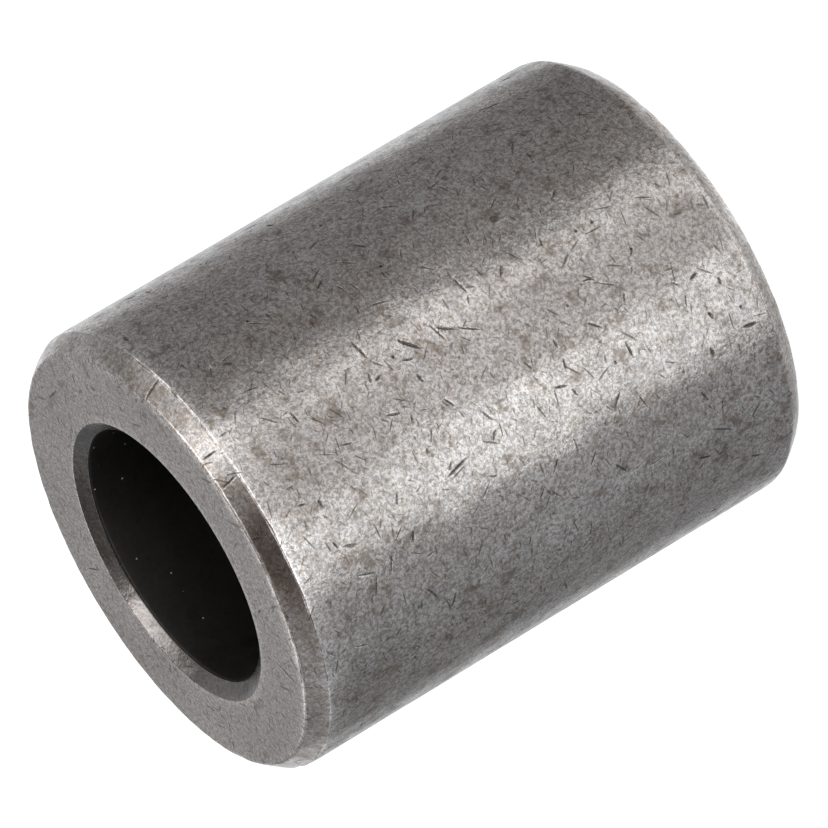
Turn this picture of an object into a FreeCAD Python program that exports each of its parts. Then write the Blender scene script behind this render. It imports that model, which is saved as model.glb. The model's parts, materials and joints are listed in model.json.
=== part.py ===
import FreeCAD, Part
import math
import os
from FreeCAD import Vector

# A plain steel bushing turned in one piece: a thick sleeve that stands on one end.
# Lengths are millimetres. The origin is the centre of the lower end face, and the
# bore runs straight up +Z.

# Driving dimensions of the sleeve
outside_diameter = 27.9
bore_diameter = 16.0
length = 35.0

# Bevel from each end face to the outside wall, longer along the wall than across the face
outside_bevel_across = 0.85
outside_bevel_along = 1.15

# Shallow countersink at each mouth of the bore, wider across the face than it is deep
bore_bevel_across = 0.88
bore_bevel_along = 0.60

# Tumbling has taken the sharpness off every edge
outside_wall_edge_radius = 0.40
outside_face_edge_radius = 0.35
bore_face_edge_radius = 0.25
bore_wall_edge_radius = 0.30


def wall_section_corners():
    """Corners of the wall's section on one side of the axis: radius, height, edge radius."""
    outside_radius = outside_diameter / 2
    bore_radius = bore_diameter / 2
    lower_end = [
        (bore_radius, bore_bevel_along, bore_wall_edge_radius),
        (bore_radius + bore_bevel_across, 0.0, bore_face_edge_radius),
        (outside_radius - outside_bevel_across, 0.0, outside_face_edge_radius),
        (outside_radius, outside_bevel_along, outside_wall_edge_radius),
    ]
    upper_end = [(radius, length - height, edge) for radius, height, edge in reversed(lower_end)]
    return lower_end + upper_end


def edge_arc(before, corner, after, edge_radius):
    """The arc that rounds one corner, tangent to the straight lines on both sides of it."""
    towards_before = (before - corner).normalize()
    towards_after = (after - corner).normalize()
    half_angle = towards_before.getAngle(towards_after) / 2
    setback = edge_radius / math.tan(half_angle)
    corner_to_arc = edge_radius / math.sin(half_angle) - edge_radius
    bisector = (towards_before + towards_after).normalize()
    return Part.Arc(
        corner + towards_before * setback,
        corner + bisector * corner_to_arc,
        corner + towards_after * setback,
    )


def rounded_outline(corners):
    """Closed wire of straight lines joined by one arc at each corner."""
    points = [Vector(radius, 0, height) for radius, height, edge in corners]
    count = len(points)
    arcs = [
        edge_arc(points[i - 1], points[i], points[(i + 1) % count], corners[i][2])
        for i in range(count)
    ]
    edges = []
    for i in range(count):
        arc = arcs[i]
        next_arc = arcs[(i + 1) % count]
        edges.append(arc.toShape())
        edges.append(Part.LineSegment(arc.EndPoint, next_arc.StartPoint).toShape())
    return Part.Wire(edges)


def make_bushing():
    """The wall's section turned once round the bore's axis."""
    section = Part.Face(rounded_outline(wall_section_corners()))
    return section.revolve(Vector(0, 0, 0), Vector(0, 0, 1), 360)


os.makedirs("parts", exist_ok=True)
make_bushing().exportStep("parts/bushing.step")
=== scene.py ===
import bmesh
import bpy
import json
import math
import random
from mathutils import Matrix, Vector, noise
from mathutils.kdtree import KDTree


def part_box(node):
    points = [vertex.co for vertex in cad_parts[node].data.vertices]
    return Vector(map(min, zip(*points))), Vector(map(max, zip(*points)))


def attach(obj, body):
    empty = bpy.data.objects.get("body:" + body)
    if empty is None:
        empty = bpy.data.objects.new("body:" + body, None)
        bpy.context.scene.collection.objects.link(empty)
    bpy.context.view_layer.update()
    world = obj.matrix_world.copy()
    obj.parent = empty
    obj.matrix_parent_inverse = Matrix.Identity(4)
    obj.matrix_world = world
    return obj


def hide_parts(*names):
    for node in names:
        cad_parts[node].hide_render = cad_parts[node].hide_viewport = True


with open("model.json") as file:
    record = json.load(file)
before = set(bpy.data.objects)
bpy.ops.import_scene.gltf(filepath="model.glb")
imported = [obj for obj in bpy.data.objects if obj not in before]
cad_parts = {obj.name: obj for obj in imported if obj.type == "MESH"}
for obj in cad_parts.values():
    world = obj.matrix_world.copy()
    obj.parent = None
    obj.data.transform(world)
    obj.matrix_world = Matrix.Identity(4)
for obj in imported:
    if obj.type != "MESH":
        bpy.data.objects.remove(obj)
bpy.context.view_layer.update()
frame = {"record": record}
scene = bpy.context.scene

MM = 0.001

# Every random draw comes from here, so that each run gives the same sleeve
draw = random.Random(28)

# The sleeve's sizes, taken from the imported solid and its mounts
low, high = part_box("bushing")
mounts = {mount["name"]: mount for mount in frame["record"]["mounts"]}
OUTSIDE_RADIUS = (high.x - low.x) / 2
BORE_RADIUS = mounts["bore"]["dims"]["r_mm"] * MM
LENGTH = high.z - low.z

# Bevels as they run across the face and along the wall, and the radius left on each edge
OUTSIDE_BEVEL_ACROSS = 0.85 * MM
OUTSIDE_BEVEL_ALONG = 1.15 * MM
BORE_BEVEL_ACROSS = 0.88 * MM
BORE_BEVEL_ALONG = 0.60 * MM
OUTSIDE_WALL_EDGE = 0.40 * MM
OUTSIDE_FACE_EDGE = 0.35 * MM
BORE_FACE_EDGE = 0.25 * MM
BORE_WALL_EDGE = 0.30 * MM

FACE_RADIUS = OUTSIDE_RADIUS - OUTSIDE_BEVEL_ACROSS
MOUTH_RADIUS = BORE_RADIUS + BORE_BEVEL_ACROSS
MIDDLE_RADIUS = (BORE_RADIUS + OUTSIDE_RADIUS) / 2


# Shape: the section, turned

def section_corners():
    """Corners of the wall's section as (radius, height, edge radius), lower end first."""
    lower_end = [
        (BORE_RADIUS, BORE_BEVEL_ALONG, BORE_WALL_EDGE),
        (MOUTH_RADIUS, 0.0, BORE_FACE_EDGE),
        (FACE_RADIUS, 0.0, OUTSIDE_FACE_EDGE),
        (OUTSIDE_RADIUS, OUTSIDE_BEVEL_ALONG, OUTSIDE_WALL_EDGE),
    ]
    upper_end = [(radius, LENGTH - height, edge) for radius, height, edge in reversed(lower_end)]
    return lower_end + upper_end


def rounded_corner(before, corner, after, edge_radius, steps):
    """Points along the arc that rounds one corner, ends included."""
    towards_before = (before - corner).normalized()
    towards_after = (after - corner).normalized()
    half_angle = towards_before.angle(towards_after) / 2
    setback = edge_radius / math.tan(half_angle)
    middle = (towards_before + towards_after).normalized()
    centre = corner + middle * (edge_radius / math.sin(half_angle))
    first = corner + towards_before * setback - centre
    last = corner + towards_after * setback - centre
    arc = [first.slerp(last, step / steps).normalized() for step in range(steps + 1)]
    return [centre + direction * edge_radius for direction in arc]


def section_points(arc_steps=6, longest_step=0.5 * MM):
    """The section's outline: an arc at each corner and evenly spaced points between the arcs."""
    corners = section_corners()
    places = [Vector((radius, 0, height)) for radius, height, edge in corners]
    count = len(places)
    arcs = [
        rounded_corner(places[i - 1], places[i], places[(i + 1) % count], corners[i][2], arc_steps)
        for i in range(count)
    ]
    points = []
    for i in range(count):
        points += arcs[i]
        start, end = arcs[i][-1], arcs[(i + 1) % count][0]
        steps = max(1, math.ceil((end - start).length / longest_step))
        points += [start.lerp(end, step / steps) for step in range(1, steps)]
    return points


def turn_section(steps=240, merge_within=0.002 * MM):
    """The section spun through an eighth of a turn, then doubled three times to close the ring."""
    bm = bmesh.new()
    verts = [bm.verts.new(point) for point in section_points()]
    edges = [bm.edges.new((verts[i - 1], verts[i])) for i in range(len(verts))]
    eighth = math.pi / 4
    bmesh.ops.spin(
        bm, geom=verts + edges, cent=(0, 0, 0), axis=(0, 0, 1), dvec=(0, 0, 0),
        angle=eighth, steps=steps // 8, use_merge=False, use_duplicate=False,
    )
    for turn in (eighth, 2 * eighth, 4 * eighth):
        copied = bmesh.ops.duplicate(bm, geom=bm.verts[:] + bm.edges[:] + bm.faces[:])["geom"]
        copied_verts = [item for item in copied if isinstance(item, bmesh.types.BMVert)]
        bmesh.ops.rotate(
            bm, verts=copied_verts, cent=(0, 0, 0), matrix=Matrix.Rotation(turn, 3, "Z"))
    bmesh.ops.remove_doubles(bm, verts=bm.verts, dist=merge_within)
    return bm


# Shape: wear left by tumbling

# A nick marks only the surface this close to its own plane, and so not the far side of the wall
NICK_REACH = 1.0 * MM


class Nick:
    """A lens-shaped dent: where it is, which way it runs, and how long, wide and deep it is."""

    def __init__(self, centre, outwards, run, length, width, depth):
        self.centre = centre
        self.outwards = outwards
        self.run = run
        self.side = outwards.cross(run)
        self.half_length = length / 2
        self.half_width = width / 2
        self.depth = depth

    def offsets(self, point):
        """How far a point lies from the dent's middle: along it, across it and outwards."""
        away = point - self.centre
        return away.dot(self.run), away.dot(self.side), away.dot(self.outwards)

    def near(self, point, margin):
        """Whether a point lies in the dent's own box, widened by margin."""
        along, across, up = self.offsets(point)
        return (
            abs(along) < self.half_length + margin
            and abs(across) < self.half_width + margin
            and abs(up) < NICK_REACH
        )

    def fill(self, point):
        """1 in the middle of the dent, 0 at its rim and beyond."""
        along, across, up = self.offsets(point)
        if abs(up) > NICK_REACH:
            return 0.0
        return max(0.0, 1 - (along / self.half_length) ** 2 - (across / self.half_width) ** 2)


def place_nick(place, turn, reach, lean, length, width, depth):
    """
    A nick on the wall, an end face or a bevel, in millimetres and degrees. turn is the angle round
    the bore, reach the height on the wall or the radius on a face, and lean the angle between
    the nick and the way round.
    """
    angle = math.radians(turn)
    outwards = Vector((math.cos(angle), math.sin(angle), 0))
    round_way = Vector((-math.sin(angle), math.cos(angle), 0))
    up = Vector((0, 0, 1))
    if place == "wall":
        centre = outwards * OUTSIDE_RADIUS + up * reach * MM
        normal, along = outwards, up
    elif place == "upper_bevel":
        drop = OUTSIDE_BEVEL_ALONG / 2
        centre = outwards * (OUTSIDE_RADIUS - OUTSIDE_BEVEL_ACROSS / 2) + up * (LENGTH - drop)
        normal = (outwards * OUTSIDE_BEVEL_ALONG + up * OUTSIDE_BEVEL_ACROSS).normalized()
        along = normal.cross(round_way)
    elif place == "upper_face":
        centre = outwards * reach * MM + up * LENGTH
        normal, along = up, outwards
    else:
        centre = outwards * reach * MM
        normal, along = -up, outwards
    run = round_way * math.cos(math.radians(lean)) + along * math.sin(math.radians(lean))
    return Nick(centre, normal, run.normalized(), length * MM, width * MM, depth * MM)


# The nicks that stand out: place, turn, reach, lean, length, width, depth
CHOSEN_NICKS = [
    ("wall", -71, 23.7, 7, 1.5, 0.22, 0.05),
    ("wall", -76, 21.1, 39, 1.6, 0.26, 0.06),
    ("wall", -77, 19.3, 13, 1.4, 0.16, 0.05),
    ("wall", -77, 18.8, 56, 1.2, 0.16, 0.05),
    ("wall", -80, 17.6, 55, 1.5, 0.14, 0.05),
    ("wall", -88, 24.2, 71, 1.0, 0.20, 0.05),
    ("wall", -106, 22.3, 105, 1.9, 0.16, 0.05),
    ("wall", -104, 19.5, 138, 0.7, 0.18, 0.05),
    ("wall", -105, 26.4, 153, 0.8, 0.16, 0.05),
    ("wall", -121, 29.5, 161, 1.3, 0.14, 0.05),
    ("wall", -93, 13.7, 179, 0.7, 0.18, 0.05),
    ("wall", -94, 11.1, 46, 1.0, 0.20, 0.05),
    ("wall", -103, 9.9, 2, 1.2, 0.20, 0.05),
    ("wall", -112, 11.8, 136, 1.1, 0.15, 0.04),
    ("wall", -128, 12.9, 36, 1.1, 0.16, 0.04),
    ("wall", -92, 21.0, 30, 0.9, 0.18, 0.04),
    ("wall", -99, 19.4, 25, 0.7, 0.18, 0.04),
    ("wall", -87, 9.3, 54, 1.4, 0.12, 0.04),
    ("wall", -92, 8.7, 154, 0.6, 0.18, 0.05),
    ("wall", -72, 14.0, 143, 0.8, 0.16, 0.04),
    ("wall", -93, 5.4, 162, 1.5, 0.10, 0.03),
    ("wall", -100, 5.5, 158, 0.9, 0.12, 0.04),
    ("wall", -25, 6.4, 66, 1.4, 0.16, 0.04),
    ("wall", -70, 16.5, 6, 1.3, 0.14, 0.04),
    ("wall", -77, 29.2, 7, 0.9, 0.20, 0.05),
    ("wall", -134, 6.0, 58, 1.8, 0.12, 0.03),
    ("wall", -114, 5.3, 179, 0.7, 0.24, 0.06),
    ("wall", -123, 6.6, 22, 1.0, 0.18, 0.05),
    ("wall", -113, 2.5, 78, 1.0, 0.24, 0.06),
    ("wall", -78, 24.2, 159, 0.7, 0.20, 0.05),
    ("wall", -79, 23.8, 112, 0.5, 0.22, 0.05),
    ("wall", -84, 21.7, 9, 0.7, 0.30, 0.05),
    ("wall", -91, 23.4, 163, 0.6, 0.18, 0.05),
    ("wall", -84, 9.9, 37, 0.9, 0.18, 0.05),
    ("wall", -98, 13.8, 165, 0.7, 0.18, 0.05),
    ("wall", -94, 15.8, 20, 0.7, 0.16, 0.04),
    ("wall", -71, 11.0, 161, 0.7, 0.16, 0.04),
    ("wall", -96, 4.4, 106, 0.7, 0.22, 0.06),
    ("wall", -106, 4.5, 17, 0.6, 0.24, 0.05),
    ("wall", -100, 3.1, 173, 0.5, 0.26, 0.05),
    ("wall", -105, 14.0, 20, 0.6, 0.18, 0.05),
    ("wall", -117, 29.9, 69, 1.2, 0.10, 0.03),
    ("wall", -118, 28.2, 159, 1.2, 0.12, 0.04),
    ("wall", -115, 26.4, 162, 0.8, 0.16, 0.05),
    ("wall", -97, 30.6, 9, 0.6, 0.26, 0.05),
    ("wall", -95, 31.6, 72, 0.6, 0.16, 0.04),
    ("wall", -107, 30.9, 24, 0.6, 0.18, 0.05),
    ("wall", -131, 26.3, 28, 1.2, 0.16, 0.04),
    ("wall", -33, 33.1, 170, 0.7, 0.28, 0.04),
    ("wall", -73, 7.8, 0, 0.24, 0.22, 0.05),
    ("wall", -73, 8.9, 0, 0.22, 0.20, 0.05),
    ("wall", -87, 11.9, 0, 0.26, 0.22, 0.05),
    ("wall", -108, 2.6, 0, 0.24, 0.18, 0.05),
    ("wall", -104, 11.0, 0, 0.22, 0.20, 0.05),
    ("wall", -99, 23.5, 0, 0.26, 0.18, 0.05),
    ("wall", -95, 23.8, 0, 0.24, 0.16, 0.05),
    ("upper_face", -140, 11.6, 99, 2.3, 0.16, 0.03),
    ("upper_face", 9, 11.4, 6, 1.9, 0.14, 0.03),
    ("upper_face", 152, 12.4, 103, 0.9, 0.12, 0.03),
    ("upper_face", 81, 10.8, 97, 1.7, 0.12, 0.03),
    ("upper_bevel", -51, 0, 96, 1.6, 0.16, 0.06),
    ("upper_bevel", -74, 0, 84, 1.1, 0.08, 0.04),
    ("upper_bevel", -82, 0, 98, 1.1, 0.09, 0.04),
]


# Smaller nicks at random: place, how many, then the ranges of reach, length, width and depth
SCATTERED_NICKS = [
    ("wall", 80, (3, 32), (0.5, 1.2), (0.12, 0.20), (0.02, 0.045)),
    ("upper_face", 6, (9.6, 12.4), (0.5, 1.0), (0.10, 0.14), (0.01, 0.02)),
    ("lower_face", 6, (9.6, 12.4), (0.5, 1.0), (0.10, 0.14), (0.01, 0.02)),
]


def scattered_nicks():
    """Smaller nicks all over, thickest on the wall, each with its own turn and lean."""
    nicks = []
    for place, count, reaches, lengths, widths, depths in SCATTERED_NICKS:
        for _ in range(count):
            ranges = ((0, 360), reaches, (0, 180), lengths, widths, depths)
            nicks.append(place_nick(place, *[draw.uniform(*ends) for ends in ranges]))
    return nicks


def nearest_tree(points):
    """A tree that finds the points near a place."""
    tree = KDTree(len(points))
    for index, point in enumerate(points):
        tree.insert(point, index)
    tree.balance()
    return tree


def refine_round_nicks(bm, nicks):
    """Halves the faces at each nick three times, ever closer to it, so that the dent is smooth."""
    for margin in (0.30 * MM, 0.16 * MM, 0.08 * MM):
        edges = bm.edges[:]
        middles = [(edge.verts[0].co + edge.verts[1].co) / 2 for edge in edges]
        tree = nearest_tree(middles)
        close = {}
        for nick in nicks:
            for middle, index, _ in tree.find_range(nick.centre, nick.half_length + margin):
                if nick.near(middle, margin):
                    close[index] = edges[index]
        chosen = [close[index] for index in sorted(close)]
        bmesh.ops.subdivide_edges(bm, edges=chosen, cuts=1, use_grid_fill=True)


def from_axis(point):
    """How far a point is from the bore's axis."""
    return math.hypot(point.x, point.y)


def from_end(point):
    """How far a point is from the nearer end face."""
    return min(point.z, LENGTH - point.z)


def settle_on_wall(bm):
    """Moves points that halving left inside the round wall back out to it."""
    straight_from = OUTSIDE_BEVEL_ALONG + OUTSIDE_WALL_EDGE / 2
    for vert in bm.verts:
        radius = from_axis(vert.co)
        if from_end(vert.co) > straight_from and radius > MIDDLE_RADIUS:
            vert.co.x *= OUTSIDE_RADIUS / radius
            vert.co.y *= OUTSIDE_RADIUS / radius


def falling_off(gap, reach):
    """1 at no distance, falling smoothly to 0 at reach."""
    return max(0.0, 1 - gap / reach) ** 2


def patches(point, size):
    """A slow random change from 0 to 1 over the surface, in patches of about the given size."""
    return 0.5 + 0.5 * noise.noise(point / size)


def outer_edge_gaps(point):
    """Distances to the two edges of the outer bevel, on the face and on the wall."""
    radius = from_axis(point)
    height = from_end(point)
    to_face_edge = math.hypot(radius - FACE_RADIUS, height)
    to_wall_edge = math.hypot(radius - OUTSIDE_RADIUS, height - OUTSIDE_BEVEL_ALONG)
    return to_face_edge, to_wall_edge


# The painted highlight along the edges of the outer bevel: how strong it is, in patches, and less at the
# lower end
PAINTED_EDGE_HIGHLIGHT_LEAST = 0.15
PAINTED_EDGE_HIGHLIGHT_MORE = 0.5
PAINTED_EDGE_HIGHLIGHT_PATCH = 1.4 * MM
PAINTED_EDGE_HIGHLIGHT_AT_LOWER_END = 0.6
PAINTED_EDGE_HIGHLIGHT_REACH = 0.35 * MM

# Where the painted highlight on the bevel's edge on the wall is left out, in degrees round the bore
EDGE_HIGHLIGHT_GAP_TURN = -104
EDGE_HIGHLIGHT_GAP_SPREAD = 30

# The side on which the edge of a mouth gets a painted highlight, as a direction from the bore's centre
MOUTH_HIGHLIGHT_X = -0.35
MOUTH_HIGHLIGHT_Y = -1.0
MOUTH_HIGHLIGHT_AT_CENTRE = 0.45
MOUTH_HIGHLIGHT_REACH = 0.5 * MM

# How far below its upper edge the wall gets a painted highlight
WALL_HIGHLIGHT_REACH = 2.6 * MM

# How far off the bore, the wall or an end face a point still counts as being on it
ON_BORE = 0.05 * MM
ON_WALL = 0.01 * MM
ON_FACE = 0.1 * MM

# The marks that the mesh carries for its finish, next to those of the nicks
SURFACE_MARKS = ("edge", "bevel", "face", "mouth", "bore", "painted_highlight")


def painted_bevel_edge_highlight(point):
    """How strong the painted highlight on an edge of the outer bevel is here, 0 away from both edges."""
    to_face_edge, to_wall_edge = outer_edge_gaps(point)
    painted_highlight = PAINTED_EDGE_HIGHLIGHT_LEAST + PAINTED_EDGE_HIGHLIGHT_MORE * patches(point, PAINTED_EDGE_HIGHLIGHT_PATCH)
    if point.z < LENGTH / 2:
        painted_highlight *= PAINTED_EDGE_HIGHLIGHT_AT_LOWER_END
    if to_wall_edge < to_face_edge:
        turn = math.degrees(math.atan2(point.y, point.x))
        painted_highlight *= 1 - falling_off(abs(turn - EDGE_HIGHLIGHT_GAP_TURN), EDGE_HIGHLIGHT_GAP_SPREAD)
    return painted_highlight * falling_off(min(to_face_edge, to_wall_edge), PAINTED_EDGE_HIGHLIGHT_REACH)


def painted_mouth_edge_highlight(point):
    """How strong the painted highlight on the edge of a mouth is here, which lies on one side only."""
    to_bright_side = (MOUTH_HIGHLIGHT_X * point.x + MOUTH_HIGHLIGHT_Y * point.y) / MOUTH_RADIUS
    painted_highlight = min(1.0, max(0.0, MOUTH_HIGHLIGHT_AT_CENTRE + to_bright_side))
    to_mouth_edge = math.hypot(from_axis(point) - MOUTH_RADIUS, from_end(point))
    return painted_highlight * falling_off(to_mouth_edge, MOUTH_HIGHLIGHT_REACH)


def mark_surface(bm):
    """
    Marks for the finish: the painted highlight on an edge, 1 on an outer bevel, an end face, in a mouth
    or in the bore, and the painted highlight on the wall next to its upper edge.
    """
    layers = {name: bm.verts.layers.float.new(name) for name in SURFACE_MARKS}
    for vert in bm.verts:
        radius = from_axis(vert.co)
        height = from_end(vert.co)
        in_bore = radius < BORE_RADIUS + ON_BORE
        on_wall = radius > OUTSIDE_RADIUS - ON_WALL
        below_upper_edge = max(0.0, LENGTH - OUTSIDE_BEVEL_ALONG - vert.co.z)
        marks = {
            # edge: painted highlights along the outer bevel's edges and on one side of each mouth's edge
            "edge": max(painted_bevel_edge_highlight(vert.co), painted_mouth_edge_highlight(vert.co)),
            "bevel": radius > FACE_RADIUS and height < OUTSIDE_BEVEL_ALONG,
            "face": MOUTH_RADIUS < radius < FACE_RADIUS and height < ON_FACE,
            "mouth": radius < MOUTH_RADIUS and not in_bore,
            "bore": in_bore,
            # painted highlight on the wall below its upper edge
            "painted_highlight": falling_off(below_upper_edge, WALL_HIGHLIGHT_REACH) if on_wall else 0.0,
        }
        for name, value in marks.items():
            vert[layers[name]] = float(value)


# The upper mouth is worn to one side: how its edge has moved, and how far from the edge that reaches
MOUTH_SHIFT = Vector((-0.12, -0.03, 0)) * MM
MOUTH_SHIFT_REACH = 1.2 * MM


def widen_upper_mouth(bm):
    """Moves the upper mouth's edge a little to one side, so it isn't quite round the bore's centre."""
    for vert in bm.verts:
        if LENGTH - vert.co.z < BORE_BEVEL_ALONG:
            gap = abs(from_axis(vert.co) - MOUTH_RADIUS)
            vert.co += MOUTH_SHIFT * falling_off(gap, MOUTH_SHIFT_REACH)


# What tumbling has worn off: slow waves on the outside, and chips and bites at the outer bevel. Each
# has the size of its patches and its depth, and the last two how far from an edge they reach.
WAVE_SIZE = 2.6 * MM
WAVE_DEPTH = 0.012 * MM
CHIP_SIZE = 0.8 * MM
CHIP_REACH = 0.5 * MM
CHIP_DEPTH = 0.06 * MM
BITE_SIZE = 1.3 * MM
BITE_SHIFT = Vector((7, 3, 5))
BITE_FROM = 0.05
WALL_BITE_REACH = 0.55 * MM
WALL_BITE_DEPTH = 0.22 * MM
FACE_BITE_REACH = 0.5 * MM
FACE_BITE_DEPTH = 0.05 * MM


def worn_depth(point):
    """How deep the surface is worn at a point, nicks apart."""
    to_face_edge, to_wall_edge = outer_edge_gaps(point)
    chips = patches(point, CHIP_SIZE)
    bites = max(0.0, noise.noise(point / BITE_SIZE + BITE_SHIFT) - BITE_FROM)
    outside = from_axis(point) > MIDDLE_RADIUS
    depth = WAVE_DEPTH * patches(point, WAVE_SIZE) if outside else 0.0
    depth += CHIP_DEPTH * chips * falling_off(min(to_face_edge, to_wall_edge), CHIP_REACH)
    depth += WALL_BITE_DEPTH * bites * falling_off(to_wall_edge, WALL_BITE_REACH)
    depth += FACE_BITE_DEPTH * bites * falling_off(to_face_edge, FACE_BITE_REACH)
    return depth


# How far beyond a nick's ends its points are looked for, and how full the nick is where its mark is full
NICK_MARGIN = 0.1 * MM
FULL_MARK_FROM = 0.5


def wear(bm, nicks):
    """Sinks every point by the wear there and by the nicks that it lies in, and marks the nicks."""
    layer = bm.verts.layers.float.new("nick")
    bm.normal_update()
    verts = bm.verts[:]
    outwards = [vert.normal.copy() for vert in verts]
    sunk = [worn_depth(vert.co) for vert in verts]
    tree = nearest_tree([vert.co for vert in verts])
    for nick in nicks:
        for point, index, _ in tree.find_range(nick.centre, nick.half_length + NICK_MARGIN):
            fill = nick.fill(point)
            sunk[index] += nick.depth * fill
            verts[index][layer] = max(verts[index][layer], min(1.0, fill / FULL_MARK_FROM))
    for vert, outward, depth in zip(verts, outwards, sunk):
        vert.co -= outward * depth


# The sheet that the finish is laid out on: its side, its border, how high the unrolled bore starts,
# and the middles of the two end faces
SHEET_SIDE = 94 * MM
SHEET_BORDER = 1 * MM
BORE_STRIP_UP = 38.5 * MM
FACES_ACROSS = 66.5 * MM
UPPER_FACE_UP = 51 * MM
LOWER_FACE_UP = 78.5 * MM

# The turn at which the wall and the bore are slit, how steeply up or down a face of the mesh must look
# to lie flat with an end face, and how much of its width a bevel adds to the strip that it ends
SLIT_TURN = math.pi / 2
END_FACE_FROM = 0.92
BEVEL_SPREAD = 0.3


def sheet_place(point, middle, normal):
    """Where a corner of a face of the mesh lies on the finish's sheet."""
    upper = middle.z > LENGTH / 2
    if abs(normal.z) > END_FACE_FROM:
        across = point.x if upper else -point.x
        return FACES_ACROSS + across, (UPPER_FACE_UP if upper else LOWER_FACE_UP) + point.y
    inward = normal.x * middle.x + normal.y * middle.y < 0
    rolled = BORE_RADIUS if inward else OUTSIDE_RADIUS
    middle_turn = math.atan2(middle.y, middle.x) - SLIT_TURN
    turn = math.atan2(point.y, point.x) - SLIT_TURN
    turn = math.remainder(turn - middle_turn, 2 * math.pi) + middle_turn % (2 * math.pi)
    beyond = BEVEL_SPREAD * abs(from_axis(point) - rolled)
    height = point.z + (beyond if upper else -beyond)
    return turn * rolled + SHEET_BORDER, height + (BORE_STRIP_UP if inward else SHEET_BORDER)


def lay_out_surface(bm):
    """The finish's sheet: the wall and the bore unrolled, and the end faces flat beside them."""
    layer = bm.loops.layers.uv.new("OFBake")
    for face in bm.faces:
        middle = face.calc_center_median()
        for loop in face.loops:
            across, up = sheet_place(loop.vert.co, middle, face.normal)
            loop[layer].uv = (across / SHEET_SIDE, up / SHEET_SIDE)


def make_sleeve(material):
    """The sleeve as tumbling has left it."""
    bm = turn_section()
    nicks = [place_nick(*row) for row in CHOSEN_NICKS] + scattered_nicks()
    refine_round_nicks(bm, nicks)
    settle_on_wall(bm)
    bmesh.ops.recalc_face_normals(bm, faces=bm.faces)
    mark_surface(bm)
    lay_out_surface(bm)
    widen_upper_mouth(bm)
    wear(bm, nicks)
    for face in bm.faces:
        face.smooth = True
    mesh = bpy.data.meshes.new("tumbled_sleeve")
    bm.to_mesh(mesh)
    bm.free()
    sleeve = bpy.data.objects.new("tumbled_sleeve", mesh)
    scene.collection.objects.link(sleeve)
    mesh.materials.append(material)
    return sleeve


# Node trees

class Tree:
    """
    Adds nodes to one tree. What is given for an input is linked if it is a socket, or else set. marks
    holds sockets by name, for the tables that say what each mark does to the finish.
    """

    def __init__(self, tree):
        self.nodes = tree.nodes
        self.links = tree.links
        self.marks = {}

    def node(self, kind, settings=None, inputs=None):
        node = self.nodes.new(kind)
        for name, value in (settings or {}).items():
            setattr(node, name, value)
        for key, value in (inputs or {}).items():
            if isinstance(value, bpy.types.NodeSocket):
                self.links.new(value, node.inputs[key])
            else:
                node.inputs[key].default_value = value
        return node

    def math(self, operation, *values):
        node = self.node("ShaderNodeMath", {"operation": operation}, dict(enumerate(values)))
        return node.outputs[0]

    def vector(self, operation, *values, output="Vector"):
        node = self.node("ShaderNodeVectorMath", {"operation": operation}, dict(enumerate(values)))
        return node.outputs[output]

    def noise(self, place, scale, detail, roughness):
        given = {"Vector": place, "Scale": scale, "Detail": detail, "Roughness": roughness}
        return self.node("ShaderNodeTexNoise", {"noise_dimensions": "3D"}, given).outputs["Fac"]

    def random_cell(self, place, size):
        """The cell round a place among random ones: its middle, a random colour and a random number."""
        given = {"Vector": place, "Scale": self.math("DIVIDE", 1.0, size), "Randomness": 1.0}
        settings = {"feature": "F1", "voronoi_dimensions": "3D"}
        cell = self.node("ShaderNodeTexVoronoi", settings, given)
        middle = cell.outputs["Position"]
        chance = self.node("ShaderNodeTexWhiteNoise", {"noise_dimensions": "3D"}, {"Vector": middle})
        return middle, cell.outputs["Color"], chance.outputs["Value"]

    def ramp(self, value, low, high, to_low=0.0, to_high=1.0, shape="SMOOTHSTEP"):
        """value carried from the range low..high to to_low..to_high."""
        given = {"Value": value, "From Min": low, "From Max": high, "To Min": to_low, "To Max": to_high}
        return self.node("ShaderNodeMapRange", {"interpolation_type": shape}, given).outputs["Result"]

    def mix(self, share, first, second):
        settings = {"data_type": "RGBA", "clamp_factor": False}
        return self.node("ShaderNodeMix", settings, {0: share, 6: first, 7: second}).outputs[2]

    def distance(self, value, middle):
        return self.math("ABSOLUTE", self.math("SUBTRACT", value, middle))

    def group(self, group, given, output, label=""):
        """What a node group puts out."""
        settings = {"node_tree": group, "label": label}
        return self.node("ShaderNodeGroup", settings, given).outputs[output]

    def either(self, share, first, second):
        """The second of two shaders where share is 1, the first where it is 0."""
        given = {0: share, 1: first.outputs[0], 2: second.outputs[0]}
        return self.node("ShaderNodeMixShader", None, given)

    def between(self, name, without, full):
        """A number that runs evenly from one value without a mark to another where it is full."""
        return self.ramp(self.marks[name], 0.0, 1.0, without, full, "LINEAR")

    def toned(self, value, rows):
        """value times a factor for each row: a mark, a range of it, and the factors at its ends."""
        for name, low, high, at_low, at_high in rows:
            factor = self.ramp(self.marks[name], low, high, at_low, at_high, "LINEAR")
            value = self.math("MULTIPLY", value, factor)
        return value

    def marked(self, value, rows):
        """value times a factor for each row: a mark, and the factor where it is full."""
        return self.toned(value, [(name, 0.0, 1.0, 1.0, full) for name, full in rows])

    def raised(self, value, rows):
        """value plus each row's mark times its weight."""
        for name, weight in rows:
            value = self.math("ADD", value, self.math("MULTIPLY", self.marks[name], weight))
        return value

    def strongest(self, rows):
        """The largest of the rows' marks, each times its weight."""
        most = 0.0
        for name, weight in rows:
            most = self.math("MAXIMUM", most, self.math("MULTIPLY", self.marks[name], weight))
        return most


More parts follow.
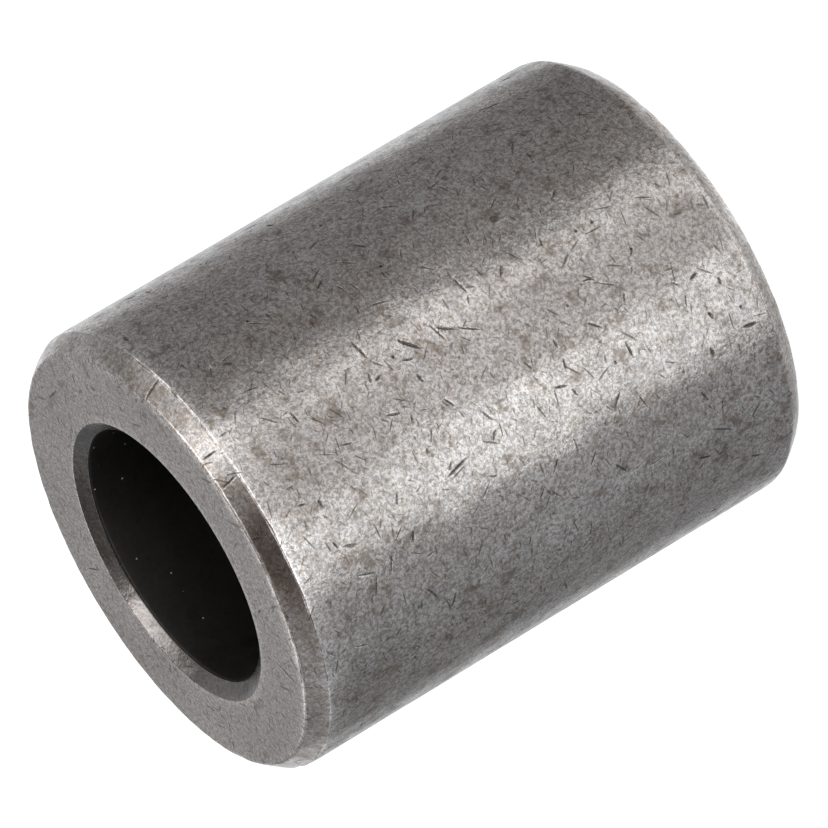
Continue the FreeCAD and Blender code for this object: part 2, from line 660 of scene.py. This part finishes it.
def new_group(name, inputs, outputs):
    """A node group with named sockets: its tree, the values given to it and the node for its results."""
    group = bpy.data.node_groups.new(name, "ShaderNodeTree")
    for label, kind in inputs:
        group.interface.new_socket(label, in_out="INPUT", socket_type=kind)
    for label, kind in outputs:
        group.interface.new_socket(label, in_out="OUTPUT", socket_type=kind)
    tree = Tree(group)
    return group, tree, tree.node("NodeGroupInput").outputs, tree.node("NodeGroupOutput").inputs


NUMBER = "NodeSocketFloat"
DIRECTION = "NodeSocketVector"


# Finish

# Scratches run rather more round the sleeve than along it, so the way across them favours the height
ACROSS_SCRATCHES = (1.0, 1.0, 1.6)


def scratch_group():
    """Short straight scratches, one to a cell, each turned its own way and tapered to both ends."""
    group, tree, given, result = new_group(
        "short_scratches",
        [("Place", DIRECTION), ("Cell", NUMBER), ("Length", NUMBER), ("Width", NUMBER), ("Share", NUMBER)],
        [("Mark", NUMBER)])
    middle, random_colour, chance = tree.random_cell(given["Place"], given["Cell"])
    away = tree.vector("SUBTRACT", given["Place"], middle)
    across = tree.vector("SUBTRACT", random_colour, (0.5, 0.5, 0.5))
    across = tree.vector("NORMALIZE", tree.vector("MULTIPLY", across, ACROSS_SCRATCHES))
    aside = tree.math("ABSOLUTE", tree.vector("DOT_PRODUCT", away, across, output="Value"))
    along = tree.vector("LENGTH", away, output="Value")
    along = tree.math("DIVIDE", along, tree.math("MULTIPLY", given["Length"], 0.5))
    taper = tree.math("SUBTRACT", 1.0, tree.math("MULTIPLY", along, along))
    half_width = tree.math("MULTIPLY", given["Width"], 0.5)
    depth = tree.math("SUBTRACT", taper, tree.math("DIVIDE", aside, half_width))
    there = tree.math("LESS_THAN", chance, given["Share"])
    tree.links.new(tree.math("MULTIPLY", tree.ramp(depth, 0.0, 0.5), there), result["Mark"])
    return group


def pit_group():
    """Small round pits, one to a cell where there is one."""
    group, tree, given, result = new_group(
        "round_pits",
        [("Place", DIRECTION), ("Cell", NUMBER), ("Radius", NUMBER), ("Share", NUMBER)],
        [("Mark", NUMBER)])
    middle, _, chance = tree.random_cell(given["Place"], given["Cell"])
    away = tree.vector("DISTANCE", given["Place"], middle, output="Value")
    inside = tree.ramp(tree.math("DIVIDE", away, given["Radius"]), 0.5, 1.0, 1.0, 0.0)
    there = tree.math("LESS_THAN", chance, given["Share"])
    tree.links.new(tree.math("MULTIPLY", inside, there), result["Mark"])
    return group


# Random patterns in the steel: how many of their marks go to a millimetre, and how fine and how rough
# the detail in them is
PATTERNS = {
    "grain": (4.4, 3.0, 0.70),
    "fine": (9.0, 2.0, 0.6),
    "fibres": (2.8, 2.0, 0.6),
    "blotches": (0.9, 3.0, 0.62),
    "clouds": (0.12, 2.0, 0.6),
}

# Scratches in the steel: the cell that holds one, its length and width in millimetres, and the share of
# cells that have one. Each kind is shifted by one more step, so that no two kinds lie alike.
SCRATCHES = [
    ("hairlines", 0.24, 0.32, 0.056, 0.90),
    ("fine_scratches", 0.45, 0.55, 0.060, 0.75),
    ("broad_scratches", 0.75, 0.70, 0.105, 0.60),
    ("long_scratches", 1.30, 1.25, 0.120, 0.55),
]
SCRATCH_SHIFT = (3.1, 1.7, 2.3)

# Pits outside the bore and specks of dust inside it, in millimetres, and the share of cells with one
SPECK_CELL = 0.9
PIT_RADIUS = 0.12
PIT_SHARE = 0.045
DUST_RADIUS = 0.065
DUST_SHARE = 1.0

# What the patterns do to the steel's tone: a range of each, and the factors at its ends
PATTERN_TONES = [
    ("grain", 0.32, 0.57, 0.40, 1.06),
    ("fine", 0.3, 0.57, 0.72, 1.06),
    ("pale_fibres", 0.0, 1.0, 1.00, 1.11),
    ("dark_fibres", 0.0, 1.0, 1.04, 0.76),
    ("patches", -0.2, 0.2, 1.18, 0.82),
    ("smudges", 0.0, 1.0, 1.0, 0.66),
    ("clouds", 0.3, 0.7, 1.12, 0.88),
    ("spots", 0.0, 1.0, 1.0, 0.55),
]

# The factor on the steel's tone in a scratch, and in or on each other mark; the factors on the edges and on
# the wall below its upper edge paint highlights
SCRATCH_TONES = [
    ("hairlines", 0.52), ("fine_scratches", 0.46), ("broad_scratches", 0.28), ("long_scratches", 0.26)]
MARK_TONES = [
    ("pits", 0.15), ("nick", 0.12), ("edge", 2.1), ("painted_highlight", 1.5), ("bevel", 1.06), ("face", 0.785)]

# How far the tone has been evened out to the middle one, on the parts that are smoother than the wall
EVENED = [("bevel", 0.20), ("mouth", 0.45), ("face", 0.08), ("bore", 0.85), ("edge", 0.6)]
MIDDLE_TONE = 0.62

# A painted pool of light: the steel is a little paler round one place on the wall, and darker away from it
PAINTED_LIGHT_POOL = (-1.7, -13.9, 17.0)
PAINTED_LIGHT_POOL_REACH = 14.0
PAINTED_LIGHT_POOL_TONE = 1.08
OUTSIDE_LIGHT_POOL_TONE = 0.87

# Colours of the steel at tone 0 and tone 1, of the dust, and what brown does to the steel's colour
DARK_STEEL = (0.125, 0.103, 0.090, 1)
PALE_STEEL = (0.765, 0.735, 0.720, 1)
DUST = (0.75, 0.72, 0.69, 1)
BROWN_TINT = (0.98, 0.88, 0.78)

# How brown each mark is, and how much light is left in the hollow ones
BROWNED = [("brown_fibres", 0.55), ("smudges", 0.6), ("spots", 0.8), ("stains", 0.6)]
HOLLOWS = [("bore", 0.16), ("mouth", 0.46), ("nick", 0.68), ("pits", 0.40)]

# What adds to the roughness, the height of the relief in millimetres, and where the relief is less
ROUGHER = [("nick", 0.2), ("bore", 0.3)]
RELIEF = [("grain", 0.012), ("rubs", 0.040), ("swells", 0.34), ("long_scratches", -0.018)]
LESS_RELIEF = [("bevel", -0.6), ("bore", -0.9)]


def gather_marks(tree, place):
    """Names the tree's marks: those that the mesh carries, the patterns, and what comes of both."""
    marks = tree.marks
    for name in SURFACE_MARKS + ("nick",):
        marks[name] = tree.node("ShaderNodeAttribute", {"attribute_name": name}).outputs["Fac"]
    for name, fineness in PATTERNS.items():
        marks[name] = tree.noise(place, *fineness)

    # Fine fibres lie where a pattern is close to one value, and smudges, spots and stains where it is high
    marks["pale_fibres"] = tree.ramp(tree.distance(marks["fibres"], 0.5), 0.0, 0.045, 1.0, 0.0)
    marks["dark_fibres"] = tree.ramp(tree.distance(marks["grain"], 0.47), 0.0, 0.03, 1.0, 0.0)
    marks["brown_fibres"] = tree.ramp(marks["fibres"], 0.42, 0.70)
    marks["smudges"] = tree.ramp(marks["blotches"], 0.58, 0.67)
    marks["spots"] = tree.ramp(marks["fibres"], 0.64, 0.70)
    marks["stains"] = tree.math("MULTIPLY", marks["bevel"], tree.ramp(marks["blotches"], 0.47, 0.60))

    # The end faces are flatter and more even than the wall, and the nicks are ragged
    evenly = tree.math("SUBTRACT", marks["blotches"], 0.5)
    marks["patches"] = tree.marked(evenly, [("face", 0.8)])
    marks["swells"] = tree.marked(marks["clouds"], [("face", 0.3)])
    marks["rubs"] = tree.marked(marks["blotches"], [("face", 0.55)])
    ragged = tree.ramp(marks["fine"], 0.36, 0.50, 0.55, 1.0)
    marks["nick"] = tree.math("MULTIPLY", marks["nick"], ragged)


def add_scratches(tree, place):
    """Names the marks of every kind of scratch."""
    scratches = scratch_group()
    for index, (name, cell, length, width, share) in enumerate(SCRATCHES):
        shifted = tree.vector("ADD", place, tuple(step * index for step in SCRATCH_SHIFT))
        given = {"Place": shifted, "Cell": cell, "Length": length, "Width": width, "Share": share}
        tree.marks[name] = tree.group(scratches, given, "Mark")


def add_pits_and_dust(tree, place):
    """Names the marks of the pits and of the dust, which are the same specks outside and in the bore."""
    given = {
        "Place": place, "Cell": SPECK_CELL, "Radius": tree.between("bore", PIT_RADIUS, DUST_RADIUS),
        "Share": tree.between("bore", PIT_SHARE, DUST_SHARE)}
    specks = tree.group(pit_group(), given, "Mark")
    tree.marks["dust"] = tree.math("MULTIPLY", specks, tree.marks["bore"])
    tree.marks["pits"] = tree.math("SUBTRACT", specks, tree.marks["dust"])


def steel_tone(tree, place):
    """How pale the steel is, with its painted highlights and painted pool of light: 0 at its darkest, and
    past 1 under the painted highlights.
    """
    tone = tree.toned(1.0, PATTERN_TONES)
    tone = tree.marked(tone, SCRATCH_TONES)
    to_middle = tree.math("SUBTRACT", MIDDLE_TONE, tone)
    tone = tree.math("ADD", tone, tree.math("MULTIPLY", tree.strongest(EVENED), to_middle))
    tone = tree.marked(tone, MARK_TONES)
    # painted pool of light round one place on the wall, darker away from it
    from_light_pool = tree.vector("DISTANCE", place, PAINTED_LIGHT_POOL, output="Value")
    light_pool_factor = tree.ramp(from_light_pool, 0.0, PAINTED_LIGHT_POOL_REACH, PAINTED_LIGHT_POOL_TONE, OUTSIDE_LIGHT_POOL_TONE)
    return tree.math("MULTIPLY", tone, light_pool_factor)


def steel_colour(tree, tone):
    """Dark to pale by its tone, brown in fibres, smudges and stains, dark in hollows, then the dust."""
    steel = tree.mix(tone, DARK_STEEL, PALE_STEEL)
    colour = tree.mix(tree.strongest(BROWNED), steel, tree.vector("MULTIPLY", steel, BROWN_TINT))
    colour = tree.vector("MULTIPLY", colour, tree.marked(1.0, HOLLOWS))
    return tree.mix(tree.marks["dust"], colour, DUST)


def steel_relief(tree):
    """The surface's fine relief as a normal."""
    height = tree.math("MULTIPLY", tree.raised(0.0, RELIEF), tree.raised(1.0, LESS_RELIEF))
    bump = tree.node("ShaderNodeBump", None, {"Strength": 1.0, "Distance": MM, "Height": height})
    return bump.outputs["Normal"]


def tumbled_steel():
    """The sleeve's bare steel, with patterns measured in millimetres of the sleeve."""
    material = bpy.data.materials.new("tumbled_steel")
    material.use_nodes = True
    tree = Tree(material.node_tree)
    coordinates = tree.node("ShaderNodeTexCoord").outputs["Object"]
    in_mm = tree.node("ShaderNodeVectorMath", {"operation": "SCALE"}, {0: coordinates, "Scale": 1 / MM})
    place = in_mm.outputs["Vector"]
    gather_marks(tree, place)
    add_scratches(tree, place)
    add_pits_and_dust(tree, place)
    roughness = tree.ramp(tree.marks["blotches"], 0.3, 0.7, 0.18, 0.31, "LINEAR")
    surface = {
        "Base Color": steel_colour(tree, steel_tone(tree, place)),
        "Metallic": tree.math("SUBTRACT", 1.0, tree.marks["dust"]),
        "Roughness": tree.raised(roughness, ROUGHER),
        "Normal": steel_relief(tree),
    }
    for name, socket in surface.items():
        tree.links.new(socket, tree.nodes["Principled BSDF"].inputs[name])
    return material


# Studio

PANEL_SIZES = (
    "Panel Azimuth", "Panel Elevation", "Half Width", "Half Height", "Side Softness", "Height Softness")


def soft_panel_group():
    """One soft-edged panel of the tent: the light it adds where the direction lies in it."""
    group, tree, given, result = new_group(
        "soft_panel",
        [(label, NUMBER) for label in ("Azimuth", "Elevation") + PANEL_SIZES] + [("Light Added", DIRECTION)],
        [("Light", DIRECTION)])
    sideways = tree.math("SUBTRACT", given["Azimuth"], given["Panel Azimuth"])
    sideways = tree.math("ABSOLUTE", tree.math("WRAP", sideways, 180.0, -180.0))
    side_end = tree.math("ADD", given["Half Width"], given["Side Softness"])
    across = tree.ramp(sideways, given["Half Width"], side_end, 1.0, 0.0)
    upwards = tree.distance(given["Elevation"], given["Panel Elevation"])
    height_end = tree.math("ADD", given["Half Height"], given["Height Softness"])
    along = tree.ramp(upwards, given["Half Height"], height_end, 1.0, 0.0)
    inside = tree.math("MULTIPLY", across, along)
    tree.links.new(tree.vector("MULTIPLY", given["Light Added"], inside), result["Light"])
    return group


# The tent's own light, and the panels round the sleeve: their sizes in degrees, in the order above,
# then the light each adds. A dark card takes light away. The camera stands at azimuth -90.
AMBIENT = (0.255, 0.248, 0.247)
PANELS = [
    ("white_sweep", 84, -40, 5, 36, 42, 12, (0.62, 0.66, 0.69)),
    ("under_light", 90, -80, 180, 24, 10, 14, (0.225, 0.225, 0.22)),
    ("back_panel", 108, 25, 64, 13, 30, 16, (0.155, 0.165, 0.175)),
    ("face_edge", 107, 42, 18, 7, 12, 7, (1.0, 1.0, 1.0)),
    ("low_back", 122, -3, 12, 5, 9, 7, (0.24, 0.24, 0.24)),
    ("left_fill", -165, -40, 8, 50, 22, 20, (0.07, 0.08, 0.09)),
    ("blue_fill", 155, -40, 25, 50, 25, 20, (-0.008, 0.004, 0.012)),
    ("left_strip", -121.5, -40, 13, 50, 9, 20, (0.72, 0.745, 0.755)),
    ("middle_fill", -77.5, -40, 25.5, 50, 12, 20, (0.335, 0.335, 0.335)),
    ("right_strip", -56, -40, 5, 40, 8, 12, (0.32, 0.325, 0.325)),
    ("cool_side", 20, -40, 14, 50, 18, 16, (-0.022, -0.014, -0.006)),
    ("horizon", -72, 9, 62, 4, 16, 8, (0.95, 0.95, 0.95)),
    ("key", -47, 46, 8, 11, 18, 11, (1.22, 1.22, 1.22)),
    ("right_fill", -10, 37, 11, 12, 14, 12, (0.33, 0.33, 0.33)),
    ("overhead", 12, 74, 40, 5, 24, 15, (2.6, 2.6, 2.6)),
    ("dark_front", -120, 48, 20, 16, 16, 14, (-0.17, -0.18, -0.185)),
    ("dark_back", 138, 52, 16, 30, 12, 14, (-0.16, -0.165, -0.17)),
    ("dark_left", 112, 12, 3, 3, 6, 6, (-0.32, -0.32, -0.32)),
    ("dark_right", 67, 9, 3, 3, 6, 6, (-0.18, -0.18, -0.18)),
]


def light_tent():
    """
    The world: soft panels for the metal to mirror, and plain white for the camera and through glass.
    The panels are so broad and soft that no ray has to be aimed at them.
    """
    world = bpy.data.worlds.new("light_tent")
    world.use_nodes = True
    world.cycles.sampling_method = "NONE"
    scene.world = world
    world.node_tree.nodes.clear()
    tree = Tree(world.node_tree)
    direction = tree.node("ShaderNodeTexCoord").outputs["Generated"]
    split = tree.node("ShaderNodeSeparateXYZ", None, {0: direction})
    turn = tree.math("ARCTAN2", split.outputs["Y"], split.outputs["X"])
    azimuth = tree.math("DEGREES", turn)
    elevation = tree.math("DEGREES", tree.math("ARCSINE", split.outputs["Z"]))
    panel = soft_panel_group()
    light = AMBIENT
    for name, *sizes, added in PANELS:
        given = {"Azimuth": azimuth, "Elevation": elevation, "Light Added": added}
        given.update(zip(PANEL_SIZES, sizes))
        light = tree.vector("ADD", light, tree.group(panel, given, "Light", name))
    light = tree.vector("MAXIMUM", light, (0, 0, 0))
    tent = tree.node("ShaderNodeBackground", None, {"Color": light})
    white = tree.node("ShaderNodeBackground", None, {"Color": (1, 1, 1, 1)})
    rays = tree.node("ShaderNodeLightPath")
    seen = tree.math("MAXIMUM", rays.outputs["Is Camera Ray"], rays.outputs["Is Transmission Ray"])
    shown = tree.either(seen, tent, white)
    tree.node("ShaderNodeOutputWorld", None, {"Surface": shown.outputs[0]})


# The floor: how far it reaches each way, how far it lies under the sleeve so that the two don't touch,
# and the glow and paint that together come out white
FLOOR_REACH = 3.0
FLOOR_DROP = 0.02 * MM
FLOOR_GLOW = 0.92
FLOOR_PAINT = (0.4, 0.4, 0.4, 1)


def white_floor():
    """White from above, and clear from below so that the sleeve's lower face can be seen."""
    material = bpy.data.materials.new("white_floor")
    material.use_nodes = True
    material.node_tree.nodes.clear()
    tree = Tree(material.node_tree)
    glow = tree.node("ShaderNodeEmission", None, {"Strength": FLOOR_GLOW})
    paint = tree.node("ShaderNodeBsdfDiffuse", None, {"Color": FLOOR_PAINT})
    white = tree.node("ShaderNodeAddShader", None, {0: glow.outputs[0], 1: paint.outputs[0]})
    from_below = tree.node("ShaderNodeNewGeometry").outputs["Backfacing"]
    sides = tree.either(from_below, white, tree.node("ShaderNodeBsdfTransparent"))
    tree.node("ShaderNodeOutputMaterial", None, {"Surface": sides.outputs[0]})
    return material


def lay_floor():
    """The floor takes the sleeve's shadow, but the sleeve doesn't mirror it."""
    bm = bmesh.new()
    bmesh.ops.create_grid(bm, x_segments=2, y_segments=2, size=FLOOR_REACH)
    mesh = bpy.data.meshes.new("floor")
    bm.to_mesh(mesh)
    bm.free()
    floor = bpy.data.objects.new("floor", mesh)
    scene.collection.objects.link(floor)
    mesh.materials.append(white_floor())
    floor.location.z = -FLOOR_DROP
    floor.visible_glossy = False
    floor.visible_shadow = False


def set_camera():
    """Far off with a long lens, looking down a little, and rolled so that the bore lies aslant."""
    aim = Vector((-0.08, 0, 17.52)) * MM
    distance = 639.3 * MM
    elevation = math.radians(22.0)
    roll = math.radians(-120.8)
    back = Vector((0, -math.cos(elevation), math.sin(elevation)))
    upright = back.to_track_quat("Z", "Y").to_matrix()
    turn = Matrix.Rotation(roll, 3, back)
    data = bpy.data.cameras.new("camera")
    data.sensor_width = 36.0
    data.lens = 491.1
    data.clip_start = 0.01
    data.clip_end = 10.0
    camera = bpy.data.objects.new("camera", data)
    camera.matrix_world = Matrix.Translation(aim + back * distance) @ (turn @ upright).to_4x4()
    scene.collection.objects.link(camera)
    scene.camera = camera


sleeve = make_sleeve(tumbled_steel())
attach(sleeve, "root")
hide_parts("bushing")

lay_floor()
light_tent()
set_camera()
scene.view_settings.view_transform = "Standard"
